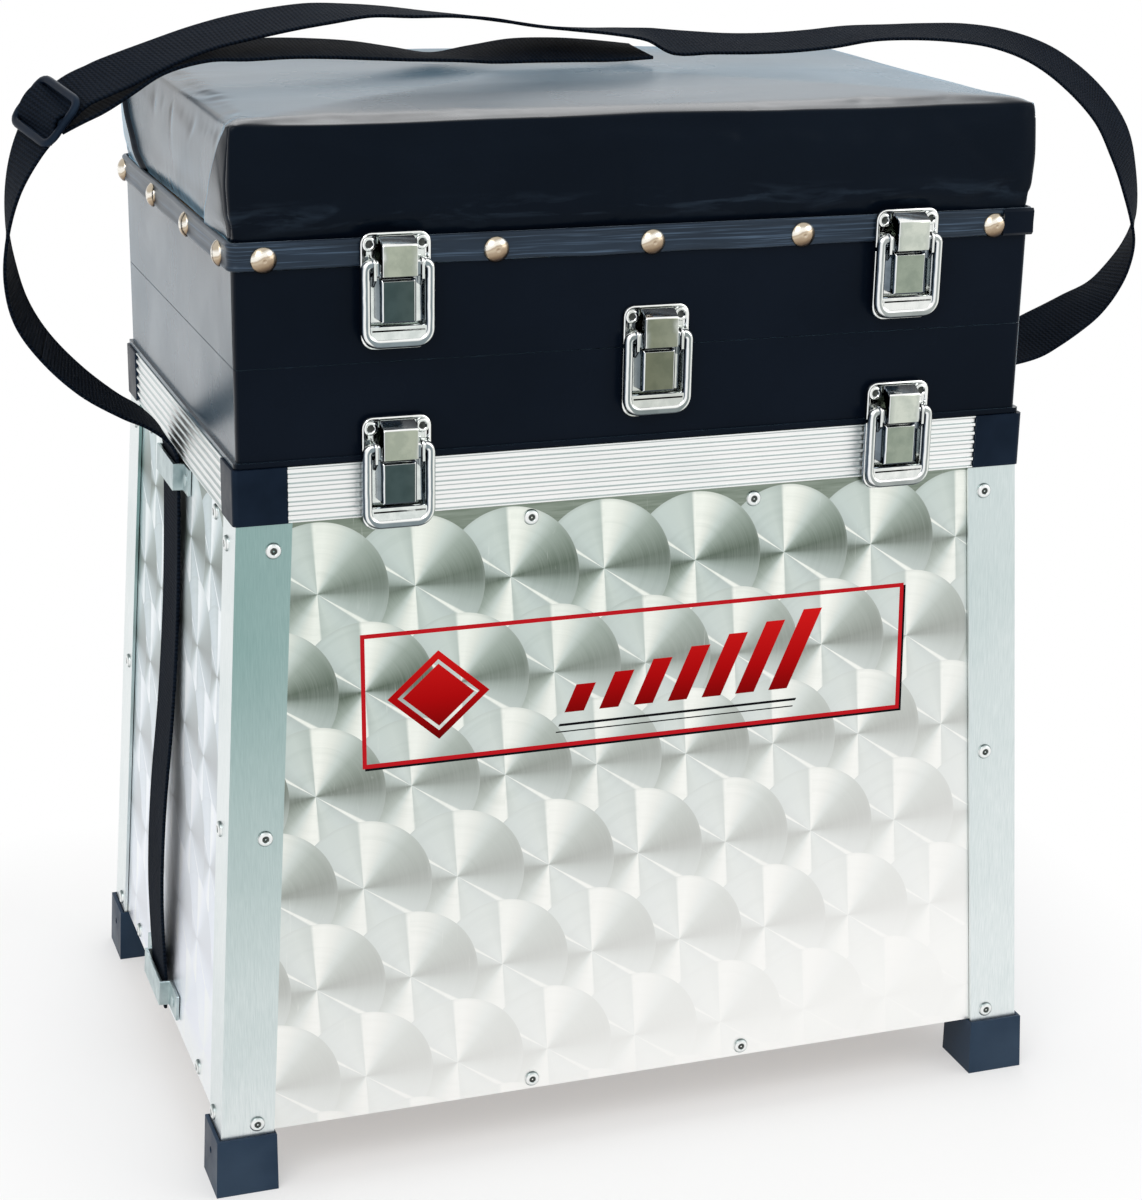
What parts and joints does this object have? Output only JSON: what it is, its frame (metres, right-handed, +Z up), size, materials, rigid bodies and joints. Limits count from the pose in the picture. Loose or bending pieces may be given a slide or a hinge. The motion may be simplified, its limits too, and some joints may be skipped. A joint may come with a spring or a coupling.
{
  "type": "fishing seat box",
  "caption": "Riveted aluminium fishing seat box with hinged stacking trays, a padded lid, draw latches, plastic feet and corners and a webbing shoulder strap.",
  "frame": {"origin": "on the floor, under the middle of the box", "axes": "+Z up, the front with the latches faces -Y, +X to the right seen from the front"},
  "size_m": [0.59, 0.2848, 0.5184],
  "materials": {
    "turned_aluminium": "engine-turned",
    "plain_aluminium": "satin extrusion",
    "board": "plain board",
    "black_plastic": "moulded",
    "cushion_vinyl": "smooth vinyl",
    "tray_vinyl": "vinyl on board",
    "chrome": "bright plate",
    "zinc": "zinc plate",
    "webbing": "woven webbing"
  },
  "bodies": {
    "box": {"front_panel": "turned_aluminium", "back_panel": "turned_aluminium", "left_panel": "turned_aluminium", "right_panel": "turned_aluminium", "floor_panel": "board", "corner_post_front_left": "plain_aluminium", "corner_post_front_right": "plain_aluminium", "corner_post_back_left": "plain_aluminium", "corner_post_back_right": "plain_aluminium", "foot_front_left": "black_plastic", "foot_front_right": "black_plastic", "foot_back_left": "black_plastic", "foot_back_right": "black_plastic", "corner_cap_front_left": "black_plastic", "corner_cap_front_right": "black_plastic", "corner_cap_back_left": "black_plastic", "corner_cap_back_right": "black_plastic", "rail_front": "plain_aluminium", "rail_back": "plain_aluminium", "rail_left": "plain_aluminium", "rail_right": "plain_aluminium", "box_hinge_leaf": "chrome", "strap_guide_left": "zinc", "strap_guide_right": "zinc", "strap_anchor_left": "zinc", "strap_anchor_right": "zinc", "strap_left": "webbing", "strap_right": "webbing", "latch_base_lower_left": "chrome", "latch_base_lower_right": "chrome"},
    "lower_tray": {"lower_tray": "tray_vinyl", "lower_tray_bottom_leaf": "chrome", "lower_tray_top_leaf": "chrome", "latch_base_middle": "chrome", "latch_strike_lower_left": "chrome", "latch_strike_lower_right": "chrome"},
    "upper_tray": {"upper_tray": "tray_vinyl", "upper_tray_bottom_leaf": "chrome", "upper_tray_top_leaf": "chrome", "latch_base_upper_left": "chrome", "latch_base_upper_right": "chrome", "latch_strike_middle": "chrome"},
    "lid": {"lid_board": "board", "trim_band": "tray_vinyl", "cushion": "cushion_vinyl", "lid_hinge_leaf": "chrome", "strap_top": "webbing", "strap_slider": "black_plastic", "latch_strike_upper_left": "chrome", "latch_strike_upper_right": "chrome"},
    "lever_upper_left": {"latch_lever_upper_left": "chrome"},
    "claw_upper_left": {"latch_claw_upper_left": "chrome"},
    "lever_upper_right": {"latch_lever_upper_right": "chrome"},
    "claw_upper_right": {"latch_claw_upper_right": "chrome"},
    "lever_middle": {"latch_lever_middle": "chrome"},
    "claw_middle": {"latch_claw_middle": "chrome"},
    "lever_lower_left": {"latch_lever_lower_left": "chrome"},
    "claw_lower_left": {"latch_claw_lower_left": "chrome"},
    "lever_lower_right": {"latch_lever_lower_right": "chrome"},
    "claw_lower_right": {"latch_claw_lower_right": "chrome"}
  },
  "joints": [
    {"name": "lower_tray_hinge", "type": "hinge", "parent": "box", "child": "lower_tray", "pos_m": [0, 0.1305, 0.342], "axis": [-1, 0, 0], "range_deg": [0, 70]},
    {"name": "upper_tray_hinge", "type": "hinge", "parent": "lower_tray", "child": "upper_tray", "pos_m": [0, 0.1305, 0.385], "axis": [-1, 0, 0], "range_deg": [0, 75]},
    {"name": "lid_hinge", "type": "hinge", "parent": "upper_tray", "child": "lid", "pos_m": [0, 0.1305, 0.427], "axis": [-1, 0, 0], "range_deg": [0, 95]},
    {"name": "lever_upper_left_swing", "type": "hinge", "parent": "upper_tray", "child": "lever_upper_left", "pos_m": [-0.11735, -0.1321, 0.429], "axis": [-1, 0, 0], "range_deg": [0, 140]},
    {"name": "claw_upper_left_turn", "type": "hinge", "parent": "lever_upper_left", "child": "claw_upper_left", "pos_m": [-0.11735, -0.1321, 0.425], "axis": [-1, 0, 0], "range_deg": [-168, 0]},
    {"name": "lever_upper_right_swing", "type": "hinge", "parent": "upper_tray", "child": "lever_upper_right", "pos_m": [0.12275, -0.1321, 0.429], "axis": [-1, 0, 0], "range_deg": [0, 140]},
    {"name": "claw_upper_right_turn", "type": "hinge", "parent": "lever_upper_right", "child": "claw_upper_right", "pos_m": [0.12275, -0.1321, 0.425], "axis": [-1, 0, 0], "range_deg": [-168, 0]},
    {"name": "lever_middle_swing", "type": "hinge", "parent": "lower_tray", "child": "lever_middle", "pos_m": [0.0027, -0.1303, 0.391], "axis": [-1, 0, 0], "range_deg": [0, 140]},
    {"name": "claw_middle_turn", "type": "hinge", "parent": "lever_middle", "child": "claw_middle", "pos_m": [0.0027, -0.1303, 0.387], "axis": [-1, 0, 0], "range_deg": [-168, 0]},
    {"name": "lever_lower_left_swing", "type": "hinge", "parent": "box", "child": "lever_lower_left", "pos_m": [-0.11735, -0.1325, 0.349], "axis": [-1, 0, 0], "range_deg": [0, 140]},
    {"name": "claw_lower_left_turn", "type": "hinge", "parent": "lever_lower_left", "child": "claw_lower_left", "pos_m": [-0.11735, -0.1325, 0.345], "axis": [-1, 0, 0], "range_deg": [-168, 0]},
    {"name": "lever_lower_right_swing", "type": "hinge", "parent": "box", "child": "lever_lower_right", "pos_m": [0.12275, -0.1325, 0.349], "axis": [-1, 0, 0], "range_deg": [0, 140]},
    {"name": "claw_lower_right_turn", "type": "hinge", "parent": "lever_lower_right", "child": "claw_lower_right", "pos_m": [0.12275, -0.1325, 0.345], "axis": [-1, 0, 0], "range_deg": [-168, 0]}
  ],
  "couplings": [
    {"joint": "claw_upper_left_turn", "follows": "lever_upper_left_swing", "ratio": -1.2},
    {"joint": "claw_upper_right_turn", "follows": "lever_upper_right_swing", "ratio": -1.2},
    {"joint": "claw_middle_turn", "follows": "lever_middle_swing", "ratio": -1.2},
    {"joint": "claw_lower_left_turn", "follows": "lever_lower_left_swing", "ratio": -1.2},
    {"joint": "claw_lower_right_turn", "follows": "lever_lower_right_swing", "ratio": -1.2}
  ]
}
